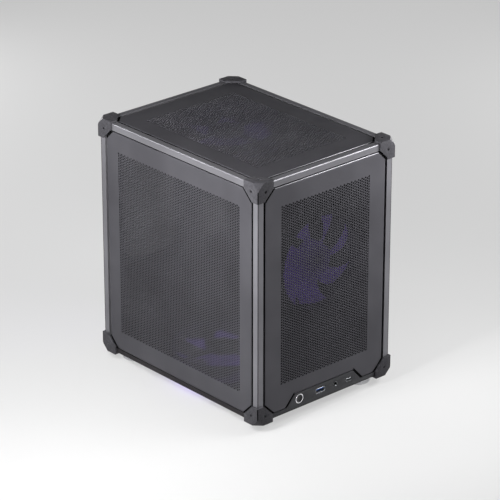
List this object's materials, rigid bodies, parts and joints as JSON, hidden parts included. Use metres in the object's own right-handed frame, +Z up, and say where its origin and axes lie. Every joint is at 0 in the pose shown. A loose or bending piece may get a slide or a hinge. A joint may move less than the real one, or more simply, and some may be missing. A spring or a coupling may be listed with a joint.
{
  "type": "micro atx pc case",
  "caption": "Compact upright computer case: tube cage with corner protectors, perforated pull-off panels, cooling fans and a front port bar.",
  "frame": {"origin": "on the floor, below the middle of the case, at the underside of the foot pads", "axes": "+Z up; the front with the port bar faces -Y; +X is to the right of someone looking at the front"},
  "size_m": [0.21, 0.2764, 0.3075],
  "materials": {
    "panel_paint": "dark grey satin powder coat",
    "cage_paint": "dark grey satin powder coat",
    "inner_paint": "black satin paint",
    "protector_plastic": "fine moulded texture",
    "bar_plastic": "fine moulded texture",
    "fan_plastic": "black moulded plastic",
    "rotor_plastic": "frosted plastic lit violet",
    "port_steel": "plain plated steel",
    "port_blue": "blue moulded plastic",
    "port_black": "black moulded plastic",
    "button_plastic": "black satin cap",
    "ring_chrome": "bright ring",
    "foot_silver": "satin silver",
    "pad_rubber": "black rubber",
    "screw_steel": "blackened steel",
    "board_laminate": "dark circuit board laminate"
  },
  "bodies": {
    "chassis": {"base_pan": "cage_paint", "top_frame": "cage_paint", "post_front_left": "cage_paint", "post_front_right": "cage_paint", "post_rear_left": "cage_paint", "post_rear_right": "cage_paint", "corner_front_left_top": "protector_plastic", "corner_front_right_top": "protector_plastic", "corner_rear_left_top": "protector_plastic", "corner_rear_right_top": "protector_plastic", "corner_front_left_base": "protector_plastic", "corner_front_right_base": "protector_plastic", "corner_rear_left_base": "protector_plastic", "corner_rear_right_base": "protector_plastic", "front_fan_frame": "fan_plastic", "top_fan_frame": "fan_plastic", "base_fan_frame": "fan_plastic", "front_fan_bracket": "inner_paint", "board_tray": "inner_paint", "rear_panel": "inner_paint", "slot_cover_1": "inner_paint", "slot_cover_2": "inner_paint", "slot_cover_3": "inner_paint", "slot_cover_4": "inner_paint", "slot_screw_1": "screw_steel", "slot_screw_2": "screw_steel", "slot_screw_3": "screw_steel", "slot_screw_4": "screw_steel", "psu_shelf": "inner_paint", "foot_front_left": "foot_silver", "foot_front_right": "foot_silver", "foot_rear_left": "foot_silver", "foot_rear_right": "foot_silver", "foot_pad_front_left": "pad_rubber", "foot_pad_front_right": "pad_rubber", "foot_pad_rear_left": "pad_rubber", "foot_pad_rear_right": "pad_rubber", "io_bar": "bar_plastic", "io_board": "board_laminate", "usb_a_shell": "port_steel", "usb_a_tongue": "port_blue", "usb_c_shell": "port_steel", "usb_c_tongue": "port_black", "audio_jack": "port_black", "power_ring": "ring_chrome", "power_switch": "port_black"},
    "power_button": {"power_button": "button_plastic"},
    "front_fan_rotor": {"front_fan_rotor": "rotor_plastic"},
    "top_fan_rotor": {"top_fan_rotor": "rotor_plastic"},
    "base_fan_rotor": {"base_fan_rotor": "rotor_plastic"},
    "left_panel": {"left_panel": "panel_paint"},
    "right_panel": {"right_panel": "panel_paint"},
    "front_panel": {"front_panel": "panel_paint"},
    "top_panel": {"top_panel": "panel_paint"}
  },
  "joints": [
    {"name": "power_button_press", "type": "slide", "parent": "chassis", "child": "power_button", "axis": [0, 1, 0], "range_m": [0, 0.0015], "stiffness_N_per_m": 300},
    {"name": "front_fan_spin", "type": "hinge", "parent": "chassis", "child": "front_fan_rotor", "pos_m": [0, -0.11325, 0.181], "axis": [0, -1, 0], "continuous": true},
    {"name": "top_fan_spin", "type": "hinge", "parent": "chassis", "child": "top_fan_rotor", "pos_m": [0, 0.032, 0.284], "axis": [0, 0, 1], "continuous": true},
    {"name": "base_fan_spin", "type": "hinge", "parent": "chassis", "child": "base_fan_rotor", "pos_m": [-0.03, 0.006, 0.027], "axis": [0, 0, 1], "continuous": true},
    {"name": "left_panel_pull", "type": "slide", "parent": "chassis", "child": "left_panel", "axis": [-1, 0, 0], "range_m": [0, 0.08]},
    {"name": "right_panel_pull", "type": "slide", "parent": "chassis", "child": "right_panel", "axis": [1, 0, 0], "range_m": [0, 0.08]},
    {"name": "front_panel_pull", "type": "slide", "parent": "chassis", "child": "front_panel", "axis": [0, -1, 0], "range_m": [0, 0.08]},
    {"name": "top_panel_pull", "type": "slide", "parent": "chassis", "child": "top_panel", "axis": [0, 0, 1], "range_m": [0, 0.08]}
  ]
}
